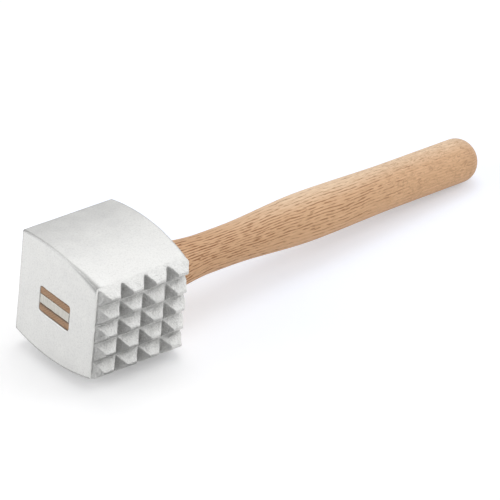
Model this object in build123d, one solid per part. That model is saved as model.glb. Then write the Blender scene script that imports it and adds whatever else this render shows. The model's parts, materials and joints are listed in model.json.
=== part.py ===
from build123d import *
import os

# A wooden-handled meat tenderizer. X runs along the handle from the head to the butt, the toothed
# striking face looks to -Y, the smooth one to +Y, and Z is up. The pieces are drawn about the handle's
# axis, with the crest of the head's end face at zero, and are moved at the end so that the origin is
# under the middle of the tool, level with its lowest point. Lengths are in millimetres.

# The head, one aluminium casting: arched top and bottom, bulging ends, flat striking faces
head_length = 63.0
smooth_face_reach = 31.6
crown_radius = 133.0
crown_half_height = 33.5
crown_offset = 5.6
head_lift = 1.1
end_face_bulge_radius = 700.0
end_face_bulge_offset = -10.0
rear_bulge_radius = 340.0
rear_bulge_offset = 3.6
head_edge_radius = 0.7

# The teeth, left standing between V-grooves that cross
tooth_columns = 4
tooth_rows = 5
column_pitch = 15.4
row_pitch = 11.35
tooth_root_reach = 33.2
tooth_depth = 5.8
tip_length = 6.4
tip_height = 1.5

# The eye that holds the handle, taller at the end face so that the wedged tenon can't pull out
eye_width = 25.6
eye_height_at_end = 15.6
eye_height_at_rear = 14.0
eye_corner_radius = 1.8

# The turned handle, from its shoulder against the head to its domed butt
shoulder_radius = 14.6
shoulder_to_neck = 41.0
neck_radius = 11.35
neck_length = 14.0
neck_to_swell = 60.0
swell_radius = 14.2
swell_to_grip = 67.0
grip_radius = 13.0
grip_length = 49.0
butt_flat_radius = 2.0
ease_share = 1 / 3

# The tenon's end and the wedge driven into its saw cut
tenon_recess = 0.6
wedge_recess = 0.5
wedge_length = 30.0
wedge_end_thickness = 5.6
wedge_tip_thickness = 0.9
wedge_end_clearance = 0.3
saw_cut_past_wedge = 8.0

# How far a cutting solid runs past what it cuts
overrun = 2.0

tip_reach = tooth_root_reach + tooth_depth
head_width = smooth_face_reach + tip_reach
head_middle = (smooth_face_reach - tip_reach) / 2
past_both_ends = head_length + 2 * overrun
across_handle = Plane.YZ


def head_block():
    """The block before its teeth are cut."""
    arch_drop = crown_radius - crown_half_height
    slab = Pos(head_middle, head_lift) * Rectangle(head_width, 2 * (crown_half_height + overrun))
    upper_arch = Pos(crown_offset, head_lift - arch_drop) * Circle(crown_radius)
    lower_arch = Pos(crown_offset, head_lift + arch_drop) * Circle(crown_radius)
    arched = extrude(across_handle.offset(-overrun) * (slab & upper_arch & lower_arch), past_both_ends)
    footprint = Pos(head_length / 2, head_middle) * Rectangle(past_both_ends, head_width + 2 * overrun)
    end_face_bulge = Pos(end_face_bulge_radius, end_face_bulge_offset) * Circle(end_face_bulge_radius)
    rear_bulge = Pos(head_length - rear_bulge_radius, rear_bulge_offset) * Circle(rear_bulge_radius)
    plan = footprint & end_face_bulge & rear_bulge
    bulged = extrude(plan, crown_half_height + head_lift + overrun, both=True)
    return arched & bulged


def soften(block):
    """Round every edge of the block but those of the side that the teeth are cut in."""
    toothed_edges = block.faces().sort_by(Axis.Y)[0].edges()
    soft_edges = [edge for edge in block.edges() if edge not in toothed_edges]
    return fillet(soft_edges, head_edge_radius)


def groove_section(half_width):
    """A V that is half_width either side at the tips and comes to a point at the roots."""
    mouth = half_width * (tooth_depth + overrun) / tooth_depth
    mouth_reach = tip_reach + overrun
    return Polygon((-mouth, -mouth_reach), (mouth, -mouth_reach), (0, -tooth_root_reach), align=None)


def tooth_grooves():
    """Upright grooves beside the columns and level grooves beside the rows, outermost ones included."""
    grooves = []
    upright = groove_section((column_pitch - tip_length) / 2)
    upright_length = 2 * (crown_half_height + overrun)
    upright_plane = Plane.XY.offset(head_lift - upright_length / 2)
    for number in range(tooth_columns + 1):
        place = head_length / 2 + (number - tooth_columns / 2) * column_pitch
        grooves.append(extrude(upright_plane * (Pos(place, 0) * upright), amount=upright_length))
    level = groove_section((row_pitch - tip_height) / 2)
    level_plane = Plane((-overrun, 0, 0), x_dir=(0, 0, 1), z_dir=(-1, 0, 0))
    for number in range(tooth_rows + 1):
        place = head_lift + (number - tooth_rows / 2) * row_pitch
        grooves.append(extrude(level_plane * (Pos(place, 0) * level), amount=-past_both_ends))
    return grooves


def eye_form(start, end):
    """The eye's shape between two places along the handle."""
    sections = []
    for place in (start, end):
        shrink = (eye_height_at_end - eye_height_at_rear) * place / head_length
        outline = RectangleRounded(eye_width, eye_height_at_end - shrink, eye_corner_radius)
        sections.append(across_handle.offset(place) * outline)
    return loft(sections, ruled=True)


def eased(start, end):
    """A line that leaves one point and reaches the next parallel to the handle's axis."""
    reach = (end[0] - start[0]) * ease_share
    return Bezier(start, (start[0] + reach, start[1]), (end[0] - reach, end[1]), end)


dome_radius = grip_radius - butt_flat_radius
neck_start = head_length + shoulder_to_neck
neck_end = neck_start + neck_length
swell_place = neck_end + neck_to_swell
grip_start = swell_place + swell_to_grip
grip_end = grip_start + grip_length
overall_length = grip_end + dome_radius


def turned_handle():
    """The round handle: a shoulder that reaches into the head, then neck, swell, grip and domed butt."""
    shoulder_start = head_length - overrun
    inner_rim = (shoulder_start, shoulder_radius)
    shoulder = (head_length, shoulder_radius)
    neck_near = (neck_start, neck_radius)
    neck_far = (neck_end, neck_radius)
    swell = (swell_place, swell_radius)
    grip_near = (grip_start, grip_radius)
    grip_far = (grip_end, grip_radius)
    butt_rim = (overall_length, butt_flat_radius)
    inner_centre = (shoulder_start, 0)
    butt_centre = (overall_length, 0)
    outline = Curve() + [
        Line(inner_centre, inner_rim),
        Line(inner_rim, shoulder),
        eased(shoulder, neck_near),
        Line(neck_near, neck_far),
        eased(neck_far, swell),
        eased(swell, grip_near),
        Line(grip_near, grip_far),
        RadiusArc(grip_far, butt_rim, dome_radius),
        Line(butt_rim, butt_centre),
        Line(butt_centre, inner_centre),
    ]
    return revolve(make_face(outline), axis=Axis.X)


def wedge_form(start, width):
    """The wedge from a place near the end face to its tip."""
    taper = (wedge_end_thickness - wedge_tip_thickness) / wedge_length
    start_half = (wedge_end_thickness - taper * start) / 2
    tip_half = wedge_tip_thickness / 2
    lower_edge = [(start, -start_half), (wedge_length, -tip_half)]
    upper_edge = [(wedge_length, tip_half), (start, start_half)]
    side = Plane.XZ * Polygon(*lower_edge, *upper_edge, align=None)
    return extrude(side, amount=width / 2, both=True)


def saw_cut(width):
    """The rest of the thin cut that the wedge opens, past the wedge's tip."""
    middle = wedge_length + saw_cut_past_wedge / 2
    return Pos(middle, 0, 0) * Box(saw_cut_past_wedge, width, wedge_tip_thickness)


block = head_block()
head = soften(block) - eye_form(-overrun, head_length + overrun)
for groove in tooth_grooves():
    head = head - groove

# The shoulder is cut to the head's bulging rear face, and the tenon fills the eye
through_width = eye_width + 2 * overrun
handle = turned_handle() - block + eye_form(tenon_recess, head_length)
handle = handle - wedge_form(-overrun, through_width) - saw_cut(through_width)

wedge = wedge_form(wedge_recess, eye_width - 2 * wedge_end_clearance)

onto_origin = Pos(-overall_length / 2, -head_middle, crown_half_height - head_lift)
os.makedirs("parts", exist_ok=True)
export_step(onto_origin * head, "parts/head.step")
export_step(onto_origin * handle, "parts/handle.step")
export_step(onto_origin * wedge, "parts/wedge.step")
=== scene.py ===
import json
import math

import bpy
import numpy as np
from mathutils import Matrix, Vector, noise


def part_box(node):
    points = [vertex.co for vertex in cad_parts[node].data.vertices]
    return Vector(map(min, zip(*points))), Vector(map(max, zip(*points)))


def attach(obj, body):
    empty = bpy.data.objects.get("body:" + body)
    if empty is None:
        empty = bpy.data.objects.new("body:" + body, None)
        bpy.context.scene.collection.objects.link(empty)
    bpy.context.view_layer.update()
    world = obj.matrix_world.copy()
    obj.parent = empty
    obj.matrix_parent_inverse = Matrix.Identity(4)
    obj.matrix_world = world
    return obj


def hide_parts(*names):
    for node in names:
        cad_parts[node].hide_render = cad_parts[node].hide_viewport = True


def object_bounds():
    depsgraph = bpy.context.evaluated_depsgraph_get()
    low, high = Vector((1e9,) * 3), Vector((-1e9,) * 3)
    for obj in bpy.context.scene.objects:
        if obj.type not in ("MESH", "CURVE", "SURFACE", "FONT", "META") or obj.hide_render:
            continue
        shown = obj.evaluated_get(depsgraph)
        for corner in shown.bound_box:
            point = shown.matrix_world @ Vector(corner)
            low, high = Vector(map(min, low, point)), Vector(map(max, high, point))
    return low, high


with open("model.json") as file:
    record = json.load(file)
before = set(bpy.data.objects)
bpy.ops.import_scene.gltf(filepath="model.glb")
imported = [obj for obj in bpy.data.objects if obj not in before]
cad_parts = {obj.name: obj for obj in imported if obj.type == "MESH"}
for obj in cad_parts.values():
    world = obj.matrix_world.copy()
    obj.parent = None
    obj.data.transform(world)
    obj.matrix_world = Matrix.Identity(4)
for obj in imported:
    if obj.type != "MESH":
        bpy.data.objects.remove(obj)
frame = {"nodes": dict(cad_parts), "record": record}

cad_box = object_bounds()

# Handle: one length of red oak, turned on a lathe and sanded, with no varnish. Its end is sawn to a flat
# tenon that fills the head's eye, and a saw cut in the tenon takes the wedge.
HANDLE_FACE = 0.0006
HANDLE_SMOOTHING = 3
HANDLE_KEPT_SHARE = 0.5
WEAR_EACH_ROUND = 0.5
grip = next(mount for mount in frame["record"]["mounts"] if mount["name"] == "grip")
handle_axis = Vector((0, grip["pos_m"][1], grip["pos_m"][2]))
handle_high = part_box("handle")[1]
head_low, head_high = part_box("head")


def worn_copy(node, name, face, rounds, kept_share):
    """A solid's form in small even faces, with its edges worn and its flats thinned out."""
    piece = bpy.data.objects.new(name, frame["nodes"][node].data.copy())
    bpy.context.scene.collection.objects.link(piece)
    even = piece.modifiers.new("even_faces", "REMESH")
    even.mode = "VOXEL"
    even.voxel_size = face
    even.use_smooth_shade = True
    worn = piece.modifiers.new("worn_edges", "SMOOTH")
    worn.factor = WEAR_EACH_ROUND
    worn.iterations = rounds
    thinned = piece.modifiers.new("thinned_flats", "DECIMATE")
    thinned.ratio = kept_share
    shaped = piece.evaluated_get(bpy.context.evaluated_depsgraph_get())
    mesh = bpy.data.meshes.new_from_object(shaped)
    piece.modifiers.clear()
    piece.data = mesh
    mesh.materials.clear()
    return piece


def put_in_place(piece, node, material):
    """Dress a piece, let it stand for its solid and ride with the tool."""
    piece.data.materials.append(material)
    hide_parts(node)
    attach(piece, "root")


def linear(hex_colour):
    """An sRGB hex colour as linear RGBA."""
    channels = [int(hex_colour[place:place + 2], 16) / 255 for place in (1, 3, 5)]
    return (*[c / 12.92 if c <= 0.04045 else ((c + 0.055) / 1.055) ** 2.4 for c in channels], 1.0)


def empty_tree(owner):
    """The nodes of a material or of the world, switched on and cleared."""
    owner.use_nodes = True
    owner.node_tree.nodes.clear()
    return owner.node_tree


def add_node(tree, kind, inputs=None, **settings):
    """Add a node with its settings, and give each named input a value or a link."""
    added = tree.nodes.new(kind)
    for name, value in settings.items():
        setattr(added, name, value)
    for name, value in (inputs or {}).items():
        if isinstance(value, bpy.types.NodeSocket):
            tree.links.new(value, added.inputs[name])
        else:
            added.inputs[name].default_value = value
    return added


# Red oak, turned and sanded bare: a warm pale brown with a faint sheen. Open pores run along the grain as
# short dark strokes, crowded at the start of each growth ring, and the grain curls near the butt.
MM = 1000
oak = bpy.data.materials.new("red_oak_sanded")
tree = empty_tree(oak)
place = add_node(tree, "ShaderNodeTexCoord")
mm = add_node(tree, "ShaderNodeVectorMath", {0: place.outputs["Object"], "Scale": MM}, operation="SCALE")
along = add_node(tree, "ShaderNodeSeparateXYZ", {0: place.outputs["Object"]})

# The grain sways a little sideways every few centimetres
SWAY_LENGTH_MM = 38
SWAY_MM = 1.6
NOISE_MIDDLE = (0.5, 0.5, 0.5)
sway = add_node(tree, "ShaderNodeTexNoise",
                {"Vector": mm.outputs[0], "Scale": 1 / SWAY_LENGTH_MM, "Detail": 1.0})
sideways = add_node(tree, "ShaderNodeVectorMath",
                    {0: sway.outputs["Color"], 1: NOISE_MIDDLE}, operation="SUBTRACT")
grain = add_node(tree, "ShaderNodeVectorMath",
                 {0: sideways.outputs[0], 1: (0, 2 * SWAY_MM, 2 * SWAY_MM), 2: mm.outputs[0]},
                 operation="MULTIPLY_ADD")

# The grain is unrolled onto one radius, so that strokes run along the swell and the neck without being cut
# short. Nearer the axis, in the tenon and the butt's dome, it is only widened a little.
UNROLLED_MM = grip["dims"]["r_mm"]
CORE_MM = 11.0
ACROSS_HANDLE = (0, 1, 1)
from_axis = add_node(tree, "ShaderNodeVectorMath",
                     {0: grain.outputs[0], 1: handle_axis * MM}, operation="SUBTRACT")
outward = add_node(tree, "ShaderNodeVectorMath",
                   {0: from_axis.outputs[0], 1: ACROSS_HANDLE}, operation="MULTIPLY")
radius = add_node(tree, "ShaderNodeVectorMath", {0: outward.outputs[0]}, operation="LENGTH")
least_radius = add_node(tree, "ShaderNodeMath",
                        {0: radius.outputs["Value"], 1: CORE_MM}, operation="MAXIMUM")
unroll = add_node(tree, "ShaderNodeMath",
                  {0: UNROLLED_MM, 1: least_radius.outputs[0]}, operation="DIVIDE")
unroll_across = add_node(tree, "ShaderNodeCombineXYZ",
                         {0: 1.0, 1: unroll.outputs[0], 2: unroll.outputs[0]})
unrolled = add_node(tree, "ShaderNodeVectorMath",
                    {0: from_axis.outputs[0], 1: unroll_across.outputs[0]}, operation="MULTIPLY")

# Growth rings, nearly flat since the pith is far off, that meet the handle's side edge on
RING_MM = 1.5
OUT_OF_TREE = Vector((0, 0.645, 0.764))
depth = add_node(tree, "ShaderNodeVectorMath",
                 {0: unrolled.outputs[0], 1: OUT_OF_TREE}, operation="DOT_PRODUCT")
ring_turn = add_node(tree, "ShaderNodeMath",
                     {0: depth.outputs["Value"], 1: 2 * math.pi / RING_MM}, operation="MULTIPLY")
ring_wave = add_node(tree, "ShaderNodeMath", {0: ring_turn.outputs[0]}, operation="SINE")
ring = add_node(tree, "ShaderNodeMapRange", {"Value": ring_wave.outputs[0], "From Min": -1.0})

# Pores, drawn about twice as wide as they are so that they show. They crowd at the start of each ring, along
# the middle and near the head, and are sparse at the sides and towards the butt: there a stroke has to rise
# over a higher edge to be seen.
PORE_LENGTH_MM = 5.5
PORE_WIDTH_MM = 0.58
EDGE_AT_RING_START = 0.4
EDGE_IN_LATE_WOOD = 0.66
PORE_FADE = 0.16
CROWDED_MM = 5
SPARSE_MM = 13
EDGE_RISE_OFF_MIDDLE = 0.12
BUTT_ZONE_START = 0.06
BUTT_ZONE_FULL = 0.115
EDGE_RISE_BY_BUTT = 0.2
HEAD_ZONE_END = 0.02
EDGE_DROP_BY_HEAD = 0.05
pore_space = add_node(tree, "ShaderNodeMapping",
                      {"Vector": unrolled.outputs[0],
                       "Scale": (1 / PORE_LENGTH_MM, 1 / PORE_WIDTH_MM, 1 / PORE_WIDTH_MM)})
pore_noise = add_node(tree, "ShaderNodeTexNoise",
                      {"Vector": pore_space.outputs[0], "Scale": 1.0, "Detail": 1.0, "Roughness": 0.5})
ring_edge = add_node(tree, "ShaderNodeMapRange",
                     {"Value": ring.outputs["Result"],
                      "To Min": EDGE_AT_RING_START, "To Max": EDGE_IN_LATE_WOOD})
off_middle = add_node(tree, "ShaderNodeMath", {0: depth.outputs["Value"]}, operation="ABSOLUTE")
side_rise = add_node(tree, "ShaderNodeMapRange",
                     {"Value": off_middle.outputs[0], "From Min": CROWDED_MM, "From Max": SPARSE_MM,
                      "To Min": 0.0, "To Max": EDGE_RISE_OFF_MIDDLE})
butt_rise = add_node(tree, "ShaderNodeMapRange",
                     {"Value": along.outputs["X"], "From Min": BUTT_ZONE_START, "From Max": BUTT_ZONE_FULL,
                      "To Min": 0.0, "To Max": EDGE_RISE_BY_BUTT})
near_head = add_node(tree, "ShaderNodeMapRange",
                     {"Value": along.outputs["X"], "From Min": head_high.x, "From Max": HEAD_ZONE_END,
                      "To Min": 1.0, "To Max": 0.0})
both_rises = add_node(tree, "ShaderNodeMath",
                      {0: side_rise.outputs["Result"], 1: butt_rise.outputs["Result"]}, operation="ADD")
rise = add_node(tree, "ShaderNodeMath",
                {0: near_head.outputs["Result"], 1: -EDGE_DROP_BY_HEAD, 2: both_rises.outputs[0]},
                operation="MULTIPLY_ADD")
pore_edge = add_node(tree, "ShaderNodeMath",
                     {0: ring_edge.outputs["Result"], 1: rise.outputs[0]}, operation="ADD")
pore_depth = add_node(tree, "ShaderNodeMath",
                      {0: pore_noise.outputs["Fac"], 1: pore_edge.outputs[0]}, operation="SUBTRACT")
pores = add_node(tree, "ShaderNodeMapRange",
                 {"Value": pore_depth.outputs[0], "From Min": 0.0, "From Max": PORE_FADE},
                 interpolation_type="SMOOTHSTEP")

# Pores are darkest near the head, where grease has filled them
PORE_DARK = 0.64
PORE_DARKER_BY_HEAD = 0.34
pore_dark = add_node(tree, "ShaderNodeMath",
                     {0: near_head.outputs["Result"], 1: PORE_DARKER_BY_HEAD, 2: PORE_DARK},
                     operation="MULTIPLY_ADD")
pore_share = add_node(tree, "ShaderNodeMath",
                      {0: pores.outputs["Result"], 1: pore_dark.outputs[0]}, operation="MULTIPLY")

# Fibres between the pores, drawn far coarser than they are so that they show
FIBRE_LENGTH_MM = 6
FIBRE_WIDTH_MM = 0.6
FIBRE_FROM = 0.35
FIBRE_TO = 0.75
FIBRE_SHARE = 0.6
fibre_space = add_node(tree, "ShaderNodeMapping",
                       {"Vector": unrolled.outputs[0],
                        "Scale": (1 / FIBRE_LENGTH_MM, 1 / FIBRE_WIDTH_MM, 1 / FIBRE_WIDTH_MM)})
fibres = add_node(tree, "ShaderNodeTexNoise",
                  {"Vector": fibre_space.outputs[0], "Scale": 1.0, "Detail": 3.0, "Roughness": 0.6})
fibre_share = add_node(tree, "ShaderNodeMapRange",
                       {"Value": fibres.outputs["Fac"], "From Min": FIBRE_FROM, "From Max": FIBRE_TO,
                        "To Min": 0.0, "To Max": FIBRE_SHARE})

# A faint curl where the grain turns near the butt
CURL_LENGTH_MM = 5
CURL_WIDTH_MM = 2.4
CURL_FROM = 0.48
CURL_TO = 0.7
CURL_SHARE = 0.6
CURL_START = 0.04
CURL_FULL = 0.09
curl_space = add_node(tree, "ShaderNodeMapping",
                      {"Vector": unrolled.outputs[0],
                       "Scale": (1 / CURL_LENGTH_MM, 1 / CURL_WIDTH_MM, 1 / CURL_WIDTH_MM)})
curl = add_node(tree, "ShaderNodeTexNoise",
                {"Vector": curl_space.outputs[0], "Scale": 1.0, "Detail": 3.0, "Distortion": 2.4})
curl_band = add_node(tree, "ShaderNodeMapRange",
                     {"Value": curl.outputs["Fac"], "From Min": CURL_FROM, "From Max": CURL_TO,
                      "To Min": 0.0, "To Max": CURL_SHARE})
curl_end = add_node(tree, "ShaderNodeMapRange",
                    {"Value": along.outputs["X"], "From Min": CURL_START, "From Max": CURL_FULL})
curl_share = add_node(tree, "ShaderNodeMath",
                      {0: curl_band.outputs["Result"], 1: curl_end.outputs["Result"]}, operation="MULTIPLY")

# Painted sheen: the upper side is painted paler from the neck to the butt, for the sheen that the light
# above lays on it.
SHEEN_FROM_MM = 3.0
SHEEN_TO_MM = 11.0
SHEEN_SHARE = 0.95
SHEEN_START = -0.06
SHEEN_FULL = 0.02
sheen_side = add_node(tree, "ShaderNodeMapRange",
                    {"Value": depth.outputs["Value"], "From Min": SHEEN_FROM_MM, "From Max": SHEEN_TO_MM,
                     "To Min": 0.0, "To Max": SHEEN_SHARE})
sheen_end = add_node(tree, "ShaderNodeMapRange",
                   {"Value": along.outputs["X"], "From Min": SHEEN_START, "From Max": SHEEN_FULL})
painted_sheen_share = add_node(tree, "ShaderNodeMath",
                     {0: sheen_side.outputs["Result"], 1: sheen_end.outputs["Result"]}, operation="MULTIPLY")

# Grease has darkened the wood near the head
GREASE_SHARE = 0.4
grease_share = add_node(tree, "ShaderNodeMath",
                        {0: near_head.outputs["Result"], 1: GREASE_SHARE}, operation="MULTIPLY")

# End grain is darker: a little at the butt, and in the eye, where washing has greyed it as well
EYE_STAIN = 0.004
EYE_STAIN_END = 0.010
EYE_SHARE = 0.8
BUTT_STAIN = 0.016
BUTT_STAIN_FULL = 0.004
BUTT_SHARE = 0.3
in_eye = add_node(tree, "ShaderNodeMapRange",
                  {"Value": along.outputs["X"],
                   "From Min": head_low.x + EYE_STAIN, "From Max": head_low.x + EYE_STAIN_END,
                   "To Min": EYE_SHARE, "To Max": 0.0})
on_butt = add_node(tree, "ShaderNodeMapRange",
                   {"Value": along.outputs["X"],
                    "From Min": handle_high.x - BUTT_STAIN, "From Max": handle_high.x - BUTT_STAIN_FULL,
                    "To Min": 0.0, "To Max": BUTT_SHARE})
end_grain = add_node(tree, "ShaderNodeMath",
                     {0: in_eye.outputs["Result"], 1: on_butt.outputs["Result"]}, operation="ADD")

# Each half of the tenon is painted dark along the eye and along the wedge: painted shade of the gaps there,
# with some crushed end grain.
HALF_MIDDLE_MM = 5.3
JOINT_FROM_MM = 1.5
JOINT_TO_MM = 2.4
TENON_GAP_SHADE = 0.9
height = add_node(tree, "ShaderNodeSeparateXYZ", {0: from_axis.outputs[0]})
off_wedge = add_node(tree, "ShaderNodeMath", {0: height.outputs["Z"]}, operation="ABSOLUTE")
off_half = add_node(tree, "ShaderNodeMath",
                    {0: off_wedge.outputs[0], 1: HALF_MIDDLE_MM}, operation="SUBTRACT")
from_half = add_node(tree, "ShaderNodeMath", {0: off_half.outputs[0]}, operation="ABSOLUTE")
joint = add_node(tree, "ShaderNodeMapRange",
                 {"Value": from_half.outputs[0], "From Min": JOINT_FROM_MM, "From Max": JOINT_TO_MM,
                  "To Min": 0.0, "To Max": TENON_GAP_SHADE})
tenon_gap_shade = add_node(tree, "ShaderNodeMath",
                      {0: joint.outputs["Result"], 1: in_eye.outputs["Result"]}, operation="MULTIPLY")

# The tints, from the bare rings up, each laid over those before it
MIX_A = 6
MIX_B = 7
MIX_RESULT = 2
ring_tint = add_node(tree, "ShaderNodeMix",
                     {0: ring.outputs["Result"], MIX_A: linear("#d6ab81"), MIX_B: linear("#dfb58d")},
                     data_type="RGBA")
wood_tint = ring_tint.outputs[MIX_RESULT]
for share, colour in (
        # painted sheen on the upper side
        (painted_sheen_share.outputs[0], "#f1d6b7"),
        (grease_share.outputs[0], "#c1916a"),
        (fibre_share.outputs["Result"], "#bd8f66"),
        (curl_share.outputs[0], "#a67c56"),
        (pore_share.outputs[0], "#895b35"),
        (end_grain.outputs[0], "#937459"),
        # painted gap shade, with some crushed end grain
        (tenon_gap_shade.outputs[0], "#5b4a3a")):
    laid_over = add_node(tree, "ShaderNodeMix",
                         {0: share, MIX_A: wood_tint, MIX_B: linear(colour)}, data_type="RGBA")
    wood_tint = laid_over.outputs[MIX_RESULT]

# Pores are sunk below the sanded surface and duller than it
PORE_SINK = 0.00015
PORE_BUMP = 0.4
SANDED_ROUGHNESS = 0.5
PORE_ROUGHNESS = 0.8
WOOD_IOR = 1.5
pore_sink = add_node(tree, "ShaderNodeMath", {0: pores.outputs["Result"], 1: -1.0}, operation="MULTIPLY")
grain_bump = add_node(tree, "ShaderNodeBump",
                      {"Height": pore_sink.outputs[0], "Strength": PORE_BUMP, "Distance": PORE_SINK})
sanded = add_node(tree, "ShaderNodeMapRange",
                  {"Value": pores.outputs["Result"], "To Min": SANDED_ROUGHNESS, "To Max": PORE_ROUGHNESS})
wood = add_node(tree, "ShaderNodeBsdfPrincipled",
                {"Base Color": wood_tint, "Roughness": sanded.outputs["Result"],
                 "IOR": WOOD_IOR, "Normal": grain_bump.outputs[0]})
add_node(tree, "ShaderNodeOutputMaterial", {"Surface": wood.outputs[0]})

handle = worn_copy("handle", "oak_handle", HANDLE_FACE, HANDLE_SMOOTHING, HANDLE_KEPT_SHARE)
put_in_place(handle, "handle", oak)

# Head: one aluminium casting, with an eye cored right through it and V-grooves that leave four columns of
# five blunt teeth on one striking face. Tumbling after casting has rounded every edge.
HEAD_FACE = 0.00035
HEAD_SMOOTHING = 2
HEAD_KEPT_SHARE = 0.25
CAST_SWELL = 0.00012
CAST_SWELL_SIZE = 0.014
CAST_GRAIN = 0.00003
CAST_GRAIN_SIZE = 0.0022
TOOTH_FLAW = 0.0004
TOOTH_FLAW_SIZE = 0.0045
TEETH_REACH = 0.0068
teeth_edge = head_low.y + TEETH_REACH


def read_vectors(items, name):
    """One vector of every item of a mesh, as rows."""
    values = np.empty(3 * len(items), np.float32)
    items.foreach_get(name, values)
    return values.reshape(-1, 3)


def roughen(piece, height, size, front=math.inf):
    """Lift and sink a piece's surface, as far as it lies in front of a place, by soft noise."""
    points = read_vectors(piece.data.vertices, "co")
    normals = read_vectors(piece.data.vertex_normals, "vector")
    lift = np.array([noise.noise(Vector(point)) for point in points / size], np.float32) * height
    lift[points[:, 1] > front] = 0
    piece.data.vertices.foreach_set("co", (points + normals * lift[:, None]).ravel())
    piece.data.update()


head = worn_copy("head", "cast_head", HEAD_FACE, HEAD_SMOOTHING, HEAD_KEPT_SHARE)
roughen(head, CAST_SWELL, CAST_SWELL_SIZE)
roughen(head, CAST_GRAIN, CAST_GRAIN_SIZE)
roughen(head, TOOTH_FLAW, TOOTH_FLAW_SIZE, teeth_edge)

# Cast aluminium, tumbled: a pale, even metal with a soft gloss. Sand grain shows as a fine mottling, drawn
# about three times as coarse as it is, and the grooves are painted darker: painted shade with a little dull
# oxide.
CLOUD_MM = 9
SAND_MM = 0.9
SAND_FROM = 0.45
SAND_TO = 0.8
SAND_SHARE = 0.22
aluminium = bpy.data.materials.new("cast_aluminium_tumbled")
tree = empty_tree(aluminium)
place = add_node(tree, "ShaderNodeTexCoord")
mm = add_node(tree, "ShaderNodeVectorMath", {0: place.outputs["Object"], "Scale": MM}, operation="SCALE")
across = add_node(tree, "ShaderNodeSeparateXYZ", {0: place.outputs["Object"]})
cloud = add_node(tree, "ShaderNodeTexNoise",
                 {"Vector": mm.outputs[0], "Scale": 1 / CLOUD_MM, "Detail": 3.0, "Roughness": 0.6})
sand = add_node(tree, "ShaderNodeTexNoise",
                {"Vector": mm.outputs[0], "Scale": 1 / SAND_MM, "Detail": 2.0, "Roughness": 0.6})
sand_share = add_node(tree, "ShaderNodeMapRange",
                      {"Value": sand.outputs["Fac"], "From Min": SAND_FROM, "From Max": SAND_TO,
                       "To Min": 0.0, "To Max": SAND_SHARE})

# The mould's own grain, also drawn coarser than it is so that it shows
MOULD_MM = 1.1
mould_grain = add_node(tree, "ShaderNodeTexNoise",
                       {"Vector": mm.outputs[0], "Scale": 1 / MOULD_MM, "Detail": 2.0, "Roughness": 0.6})

# Painted shade: the surface is darkened where it is sheltered, down the grooves and round the eye, and this
# stands for a little dull oxide there as well. Its edge is speckled.
SHELTER = 0.006
SHELTER_SAMPLES = 8
SPECKLE = 0.4
SHELTERED = 0.3
OPEN = 0.95
SHADE_AND_OXIDE_SHARE = 0.5
shelter = add_node(tree, "ShaderNodeAmbientOcclusion",
                   {"Distance": SHELTER}, only_local=True, samples=SHELTER_SAMPLES)
speckle = add_node(tree, "ShaderNodeMapRange",
                   {"Value": mould_grain.outputs["Fac"], "To Min": -SPECKLE, "To Max": SPECKLE})
speckled_shelter = add_node(tree, "ShaderNodeMath",
                            {0: shelter.outputs["AO"], 1: speckle.outputs["Result"]}, operation="ADD")
shade_and_oxide_share = add_node(tree, "ShaderNodeMapRange",
                       {"Value": speckled_shelter.outputs[0], "From Min": SHELTERED, "From Max": OPEN,
                        "To Min": SHADE_AND_OXIDE_SHARE, "To Max": 0.0})

# The block's edges are painted a darker grey, most of all at its corners and along the bottom: painted shade
# on their rounding, with some wear at the corners. The line widens towards the upper corner between the end
# face and the teeth. The teeth are left out.
EDGE_LINE = 0.0015
EDGE_LINE_BY_TEETH = 0.0045
WIDE_TOP = 0.008
WIDE_TOP_END = 0.018
WIDE_FRONT = 0.01
WIDE_FRONT_END = 0.03
WIDENING_START = -0.005
SHARP = 0.66
FLAT = 0.95
EDGE_MIDDLE = 0.020
BLOCK_CORNER = 0.047
CORNER_SHARE = 0.9
LOW_EDGE = 0.012
LOW_EDGE_SHADE = 0.8
edge_line_by_top = add_node(tree, "ShaderNodeMapRange",
                         {"Value": across.outputs["Z"],
                          "From Min": head_high.z - WIDE_TOP_END, "From Max": head_high.z - WIDE_TOP,
                          "To Min": EDGE_LINE, "To Max": EDGE_LINE_BY_TEETH})
edge_line_by_end = add_node(tree, "ShaderNodeMapRange",
                         {"Value": across.outputs["X"],
                          "From Min": head_low.x + WIDE_FRONT, "From Max": head_low.x + WIDE_FRONT_END,
                          "To Min": edge_line_by_top.outputs["Result"], "To Max": EDGE_LINE})
edge_line_width = add_node(tree, "ShaderNodeMapRange",
                        {"Value": across.outputs["Y"], "From Min": teeth_edge, "From Max": WIDENING_START,
                         "To Min": edge_line_by_end.outputs["Result"], "To Max": EDGE_LINE})
sharpness = add_node(tree, "ShaderNodeAmbientOcclusion",
                     {"Distance": edge_line_width.outputs["Result"]},
                     only_local=True, inside=True, samples=SHELTER_SAMPLES)
sharp_edge_share = add_node(tree, "ShaderNodeMapRange",
                        {"Value": sharpness.outputs["AO"], "From Min": SHARP, "From Max": FLAT,
                         "To Min": 1.0, "To Max": 0.0})
from_axis = add_node(tree, "ShaderNodeVectorMath",
                     {0: place.outputs["Object"], 1: handle_axis}, operation="SUBTRACT")
outward = add_node(tree, "ShaderNodeVectorMath",
                   {0: from_axis.outputs[0], 1: ACROSS_HANDLE}, operation="MULTIPLY")
radius = add_node(tree, "ShaderNodeVectorMath", {0: outward.outputs[0]}, operation="LENGTH")
corner_weight = add_node(tree, "ShaderNodeMapRange",
                         {"Value": radius.outputs["Value"],
                          "From Min": EDGE_MIDDLE, "From Max": BLOCK_CORNER,
                          "To Min": 0.0, "To Max": CORNER_SHARE})
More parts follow.
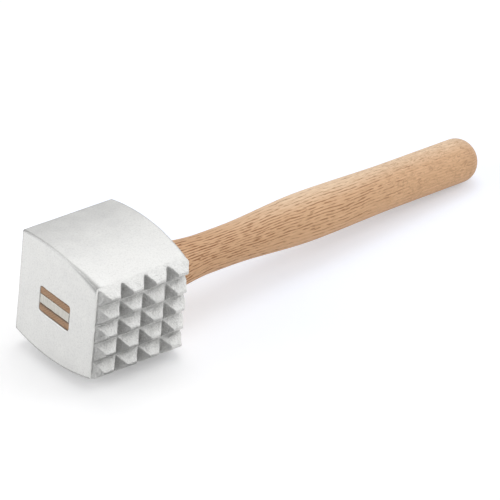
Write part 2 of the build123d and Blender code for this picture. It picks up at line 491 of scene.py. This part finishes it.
low_edge_shade = add_node(tree, "ShaderNodeMapRange",
                     {"Value": across.outputs["Z"],
                      "From Min": head_low.z, "From Max": head_low.z + LOW_EDGE,
                      "To Min": LOW_EDGE_SHADE, "To Max": 0.0})
edge_share = add_node(tree, "ShaderNodeMath",
                      {0: corner_weight.outputs["Result"], 1: low_edge_shade.outputs["Result"]}, operation="ADD")
edge_mark = add_node(tree, "ShaderNodeMath",
                        {0: sharp_edge_share.outputs["Result"], 1: edge_share.outputs[0]}, operation="MULTIPLY")
off_teeth = add_node(tree, "ShaderNodeMath",
                     {0: across.outputs["Y"], 1: teeth_edge}, operation="GREATER_THAN")
edge_shade_and_wear = add_node(tree, "ShaderNodeMath",
                   {0: edge_mark.outputs[0], 1: off_teeth.outputs[0]}, operation="MULTIPLY")

# The thin lip between the first groove and the end face is painted bright: a painted highlight on its edge
LIP = 0.0011
by_end_face = add_node(tree, "ShaderNodeMath",
                       {0: across.outputs["X"], 1: head_low.x + LIP}, operation="LESS_THAN")
on_teeth = add_node(tree, "ShaderNodeMath", {0: 1.0, 1: off_teeth.outputs[0]}, operation="SUBTRACT")
lip_highlight = add_node(tree, "ShaderNodeMath",
                  {0: by_end_face.outputs[0], 1: on_teeth.outputs[0]}, operation="MULTIPLY")

# The tints, from the clouded bare metal up, each laid over those before it
metal_cloud = add_node(tree, "ShaderNodeMix",
                       {0: cloud.outputs["Fac"], MIX_A: linear("#dadad9"), MIX_B: linear("#ebebe9")},
                       data_type="RGBA")
metal_tint = metal_cloud.outputs[MIX_RESULT]
for share, colour in (
        (sand_share.outputs["Result"], "#a9a9a8"),
        # painted shade where sheltered, with a little dull oxide
        (shade_and_oxide_share.outputs["Result"], "#757473"),
        # painted shade on the edges, with some wear
        (edge_shade_and_wear.outputs[0], "#686867"),
        # painted highlight on the lip
        (lip_highlight.outputs[0], "#dfdfdd")):
    laid_over = add_node(tree, "ShaderNodeMix",
                         {0: share, MIX_A: metal_tint, MIX_B: linear(colour)}, data_type="RGBA")
    metal_tint = laid_over.outputs[MIX_RESULT]

# The gloss is clouded too, and the sand's grain can just be felt
GLOSS_FROM = 0.3
GLOSS_TO = 0.7
GLOSSY = 0.52
DULL = 0.62
SAND_BUMP = 0.2
SAND_HEIGHT = 0.0001
gloss = add_node(tree, "ShaderNodeMapRange",
                 {"Value": cloud.outputs["Fac"], "From Min": GLOSS_FROM, "From Max": GLOSS_TO,
                  "To Min": GLOSSY, "To Max": DULL})
sand_bump = add_node(tree, "ShaderNodeBump",
                     {"Height": sand.outputs["Fac"], "Strength": SAND_BUMP, "Distance": SAND_HEIGHT})

# The teeth keep the mould's grain, since tumbling doesn't reach between them
MOULD_HEIGHT = 0.0006
mould_bump = add_node(tree, "ShaderNodeBump",
                      {"Height": mould_grain.outputs["Fac"], "Strength": on_teeth.outputs[0],
                       "Distance": MOULD_HEIGHT, "Normal": sand_bump.outputs[0]})
cast = add_node(tree, "ShaderNodeBsdfPrincipled",
                {"Base Color": metal_tint, "Metallic": 1.0,
                 "Roughness": gloss.outputs["Result"], "Normal": mould_bump.outputs[0]})
add_node(tree, "ShaderNodeOutputMaterial", {"Surface": cast.outputs[0]})
put_in_place(head, "head", aluminium)

# Wedge: a strip of aluminium sawn to a taper, driven into the tenon's saw cut so that the wood fills the
# eye, then filed off. Its end is dented by the hammer.
WEDGE_FACE = 0.0003
WEDGE_SMOOTHING = 2
WEDGE_KEPT_SHARE = 0.5
DENT = 0.00012
DENT_SIZE = 0.0025
wedge_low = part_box("wedge")[0]
wedge = worn_copy("wedge", "driven_wedge", WEDGE_FACE, WEDGE_SMOOTHING, WEDGE_KEPT_SHARE)
roughen(wedge, DENT, DENT_SIZE)

# Sawn aluminium: duller and a little warmer than the casting, scratched across by the file. The scratches
# are drawn coarser than they are so that they show. A dark band at the side towards the teeth is painted
# shade of the gap there.
FILE_MARK_MM = 0.8
FILE_STROKE_MM = 8
FILE_BUMP = 0.3
FILE_HEIGHT = 0.0001
FILED_SMOOTH = 0.45
FILED_ROUGH = 0.6
WEDGE_GAP = 0.0008
WEDGE_GAP_SHADE = 0.9
strip = bpy.data.materials.new("sawn_aluminium")
tree = empty_tree(strip)
place = add_node(tree, "ShaderNodeTexCoord")
mm = add_node(tree, "ShaderNodeVectorMath", {0: place.outputs["Object"], "Scale": MM}, operation="SCALE")
across = add_node(tree, "ShaderNodeSeparateXYZ", {0: place.outputs["Object"]})
file_space = add_node(tree, "ShaderNodeMapping",
                      {"Vector": mm.outputs[0],
                       "Scale": (1 / FILE_MARK_MM, 1 / FILE_MARK_MM, 1 / FILE_STROKE_MM)})
file_marks = add_node(tree, "ShaderNodeTexNoise",
                      {"Vector": file_space.outputs[0], "Scale": 1.0, "Detail": 2.0})
strip_tint = add_node(tree, "ShaderNodeMix",
                      {0: file_marks.outputs["Fac"], MIX_A: linear("#b2afa7"), MIX_B: linear("#e2e0da")},
                      data_type="RGBA")
wedge_gap_shade = add_node(tree, "ShaderNodeMapRange",
                  {"Value": across.outputs["Y"],
                   "From Min": wedge_low.y, "From Max": wedge_low.y + WEDGE_GAP,
                   "To Min": WEDGE_GAP_SHADE, "To Max": 0.0})
# painted shade of the gap at the side towards the teeth
wedge_gap_shade_tint = add_node(tree, "ShaderNodeMix",
                    {0: wedge_gap_shade.outputs["Result"], MIX_A: strip_tint.outputs[MIX_RESULT],
                     MIX_B: linear("#3f3d3a")}, data_type="RGBA")
strip_gloss = add_node(tree, "ShaderNodeMapRange",
                       {"Value": file_marks.outputs["Fac"], "To Min": FILED_SMOOTH, "To Max": FILED_ROUGH})
file_bump = add_node(tree, "ShaderNodeBump",
                     {"Height": file_marks.outputs["Fac"], "Strength": FILE_BUMP, "Distance": FILE_HEIGHT})
sawn = add_node(tree, "ShaderNodeBsdfPrincipled",
                {"Base Color": wedge_gap_shade_tint.outputs[MIX_RESULT], "Metallic": 1.0,
                 "Roughness": strip_gloss.outputs["Result"], "Normal": file_bump.outputs[0]})
add_node(tree, "ShaderNodeOutputMaterial", {"Surface": sawn.outputs[0]})
put_in_place(wedge, "wedge", strip)

# Table: a plain white sheet. The tool lies on its head's rear lower edge and on its butt, and leans a little
# to the toothed side, so the sheet is tilted to the tool.
TABLE_SIZE = 6.0
TABLE_LEAN = math.radians(2.6)
butt_place = grip["pos_m"][0] + grip["dims"]["length_mm"] / MM / 2
butt_underside = grip["pos_m"][2] - grip["dims"]["r_mm"] / MM
table_pitch = math.atan2(butt_underside - head_low.z, butt_place - head_high.x)
table_turn = Matrix.Rotation(-table_pitch, 4, "Y") @ Matrix.Rotation(-TABLE_LEAN, 4, "X")
table_up = table_turn @ Vector((0, 0, 1))
lowest = min((read_vectors(piece.data.vertices, "co") @ np.array(table_up)).min()
             for piece in (head, handle))
bpy.ops.mesh.primitive_plane_add(size=TABLE_SIZE)
table = bpy.context.object
table.name = "table"
table.matrix_world = Matrix.Translation(table_up * lowest) @ table_turn

# White card, shown as plain white and dimmed where the tool keeps the light away. Where the tool touches it,
# most of all where the head stands on it, its white glow is lowered as a painted contact shadow. It is
# painted a little cooler under the handle, a painted shadow colour that shows only in the handle's shadow.
# Seen from below it is clear, so that low views aren't blocked.
LIFT_TO_WHITE = 0.4
CONTACT = 0.009
CONTACT_SAMPLES = 8
TOUCHED = 0.3
UNTOUCHED = 0.95
HEAD_CONTACT_SHARE = 0.6
BUTT_CONTACT_SHARE = 0.9
UNDER_HEAD = 0.02
UNDER_HANDLE = 0.0
BEFORE_FIRST_BOUNCE = 0.5
card = bpy.data.materials.new("white_card")
tree = empty_tree(card)
ray = add_node(tree, "ShaderNodeLightPath")
seen_or_mirrored = add_node(tree, "ShaderNodeMath",
                            {0: ray.outputs["Is Camera Ray"], 1: ray.outputs["Is Glossy Ray"]},
                            operation="MAXIMUM")
seen_at_all = add_node(tree, "ShaderNodeMath",
                       {0: seen_or_mirrored.outputs[0], 1: ray.outputs["Is Transmission Ray"]},
                       operation="MAXIMUM")
not_passed_on = add_node(tree, "ShaderNodeMath",
                         {0: ray.outputs["Diffuse Depth"], 1: BEFORE_FIRST_BOUNCE},
                         operation="LESS_THAN")
seen = add_node(tree, "ShaderNodeMath",
                {0: seen_at_all.outputs[0], 1: not_passed_on.outputs[0]}, operation="MULTIPLY")
place = add_node(tree, "ShaderNodeTexCoord")
along = add_node(tree, "ShaderNodeSeparateXYZ", {0: place.outputs["Object"]})
by_handle = add_node(tree, "ShaderNodeMapRange",
                     {"Value": along.outputs["X"],
                      "From Min": head_high.x - UNDER_HEAD, "From Max": UNDER_HANDLE})
# painted shadow colour: cooler under the handle
painted_shadow_tint = add_node(tree, "ShaderNodeMix",
                      {0: by_handle.outputs["Result"], MIX_A: linear("#d5d5d6"), MIX_B: linear("#d0d6e3")},
                      data_type="RGBA")
seen_tint = add_node(tree, "ShaderNodeMix",
                     {0: ray.outputs["Is Camera Ray"], MIX_A: linear("#cfcfcf"),
                      MIX_B: painted_shadow_tint.outputs[MIX_RESULT]}, data_type="RGBA")
seen_card = add_node(tree, "ShaderNodeBsdfDiffuse", {"Color": seen_tint.outputs[MIX_RESULT]})
# painted contact shadow: the glow is lowered where the tool touches the card
contact_reach = add_node(tree, "ShaderNodeAmbientOcclusion", {"Distance": CONTACT}, samples=CONTACT_SAMPLES)
painted_contact_shadow = add_node(tree, "ShaderNodeMapRange",
                        {"Value": by_handle.outputs["Result"],
                         "To Min": HEAD_CONTACT_SHARE * LIFT_TO_WHITE,
                         "To Max": BUTT_CONTACT_SHARE * LIFT_TO_WHITE})
lift = add_node(tree, "ShaderNodeMapRange",
                {"Value": contact_reach.outputs["AO"], "From Min": TOUCHED, "From Max": UNTOUCHED,
                 "To Min": painted_contact_shadow.outputs["Result"], "To Max": LIFT_TO_WHITE})
glow = add_node(tree, "ShaderNodeEmission", {"Color": (1, 1, 1, 1), "Strength": lift.outputs["Result"]})
shown = add_node(tree, "ShaderNodeAddShader", {0: seen_card.outputs[0], 1: glow.outputs[0]})
bounced = add_node(tree, "ShaderNodeBsdfDiffuse", {"Color": linear("#f0f0f0")})
by_ray = add_node(tree, "ShaderNodeMixShader",
                  {0: seen.outputs[0], 1: bounced.outputs[0], 2: shown.outputs[0]})
seen_side = add_node(tree, "ShaderNodeNewGeometry")
clear = add_node(tree, "ShaderNodeBsdfTransparent")
by_side = add_node(tree, "ShaderNodeMixShader",
                   {0: seen_side.outputs["Backfacing"], 1: by_ray.outputs[0], 2: clear.outputs[0]})
add_node(tree, "ShaderNodeOutputMaterial", {"Surface": by_side.outputs[0]})
table.data.materials.append(card)

# Dark flag: a grey square in front of the teeth, darker close to the tool, that only the metal mirrors. It
# is a painted reflection, so that the teeth's left flanks read as dark.
FLAG_SIZE = 0.2
FLAG_FADE = 0.06
FLAG_INSET = Vector((0.05, -0.003, 0.001))
flag_half = FLAG_SIZE / 2
flag_middle = Vector((head_low.x - flag_half, head_low.y - flag_half, 0)) + FLAG_INSET
bpy.ops.mesh.primitive_plane_add(size=FLAG_SIZE)
dark_flag = bpy.context.object
dark_flag.name = "dark_flag"
dark_flag.matrix_world = table.matrix_world @ Matrix.Translation(flag_middle)
dark_flag.visible_camera = False
dark_flag.visible_diffuse = False
dark_flag.visible_transmission = False
dark_flag.visible_shadow = False
flag_grey = bpy.data.materials.new("grey_flag_reflection")
tree = empty_tree(flag_grey)
place = add_node(tree, "ShaderNodeTexCoord")
across = add_node(tree, "ShaderNodeSeparateXYZ", {0: place.outputs["Object"]})
by_tool = add_node(tree, "ShaderNodeMapRange",
                   {"Value": across.outputs["Y"], "From Min": flag_half - FLAG_FADE, "From Max": flag_half})
reflected_grey_tint = add_node(tree, "ShaderNodeMix",
                    {0: by_tool.outputs["Result"], MIX_A: linear("#929292"), MIX_B: linear("#686868")},
                    data_type="RGBA")
reflected_grey = add_node(tree, "ShaderNodeBsdfDiffuse", {"Color": reflected_grey_tint.outputs[MIX_RESULT]})
add_node(tree, "ShaderNodeOutputMaterial", {"Surface": reflected_grey.outputs[0]})
dark_flag.data.materials.append(flag_grey)

# Light: a white tent that glows to the right of the teeth and is dim elsewhere. One soft lamp hangs above
# and behind the tool, one looks at the teeth from the right, and a low one stands left of the end face.
TENT_DIM = 0.47
TENT_BRIGHT = 1.04
GLOW_AZIMUTH = 66
GLOW_ELEVATION = 34
GLOW_EDGE = 0.2
GLOW_FULL = 0.95
scene = bpy.context.scene
scene.view_settings.view_transform = "Standard"
lowest_corner, highest_corner = cad_box
middle = (lowest_corner + highest_corner) / 2


def outwards(azimuth, elevation):
    """The direction from the tool to a place round it, from angles in degrees."""
    around = math.radians(azimuth)
    above = math.radians(elevation)
    return Vector((math.sin(around) * math.cos(above), -math.cos(around) * math.cos(above), math.sin(above)))


tent = bpy.data.worlds.new("white_tent")
scene.world = tent
tree = empty_tree(tent)
bearing = add_node(tree, "ShaderNodeTexCoord")
towards_glow = add_node(tree, "ShaderNodeVectorMath",
                        {0: bearing.outputs["Generated"], 1: outwards(GLOW_AZIMUTH, GLOW_ELEVATION)},
                        operation="DOT_PRODUCT")
fabric = add_node(tree, "ShaderNodeMapRange",
                  {"Value": towards_glow.outputs["Value"], "From Min": GLOW_EDGE, "From Max": GLOW_FULL,
                   "To Min": TENT_DIM, "To Max": TENT_BRIGHT}, interpolation_type="SMOOTHSTEP")
fabric_glow = add_node(tree, "ShaderNodeBackground",
                       {"Color": (1, 1, 1, 1), "Strength": fabric.outputs["Result"]})
add_node(tree, "ShaderNodeOutputWorld", {"Surface": fabric_glow.outputs[0]})


def add_softbox(name, azimuth, elevation, distance, size, power):
    """A square lamp that looks at the tool from a given direction."""
    away = outwards(azimuth, elevation)
    lamp = bpy.data.lights.new(name, "AREA")
    lamp.size = size
    lamp.energy = power
    softbox = bpy.data.objects.new(name, lamp)
    softbox.location = middle + away * distance
    softbox.rotation_mode = "QUATERNION"
    softbox.rotation_quaternion = away.to_track_quat("Z", "Y")
    scene.collection.objects.link(softbox)


add_softbox("top_softbox", azimuth=154, elevation=71, distance=1.6, size=0.9, power=5.0)
add_softbox("front_softbox", azimuth=54, elevation=42, distance=1.4, size=0.8, power=2.7)
add_softbox("low_softbox", azimuth=248, elevation=18, distance=1.2, size=0.7, power=4.4)

# Camera: a long lens from in front of the end face and the teeth, set so that the middle of the end face
# falls where the photograph has it.
CAMERA_AZIMUTH = -44.08
CAMERA_ELEVATION = 31.23
CAMERA_ROLL = math.radians(6.34)
CAMERA_DISTANCE = 2.0
PICTURE_PIXELS = 500
PIXELS_PER_METRE = 1895.6
END_FACE_PIXEL = (53.8, 308.5)
back = outwards(CAMERA_AZIMUTH, CAMERA_ELEVATION)
level = outwards(CAMERA_AZIMUTH + 90, 0)
upright = back.cross(level)
right = level * math.cos(CAMERA_ROLL) + upright * math.sin(CAMERA_ROLL)
up = back.cross(right)
end_face = handle_axis + Vector((head_low.x, 0, 0))
end_face_right = (END_FACE_PIXEL[0] - PICTURE_PIXELS / 2) / PIXELS_PER_METRE
end_face_up = (PICTURE_PIXELS / 2 - END_FACE_PIXEL[1]) / PIXELS_PER_METRE
camera_place = end_face + back * CAMERA_DISTANCE - right * end_face_right - up * end_face_up
lens = bpy.data.cameras.new("long_lens")
lens.lens = PIXELS_PER_METRE * CAMERA_DISTANCE / PICTURE_PIXELS * lens.sensor_width
camera = bpy.data.objects.new("camera", lens)
camera.matrix_world = Matrix.Translation(camera_place) @ Matrix((right, up, back)).transposed().to_4x4()
scene.collection.objects.link(camera)
scene.camera = camera
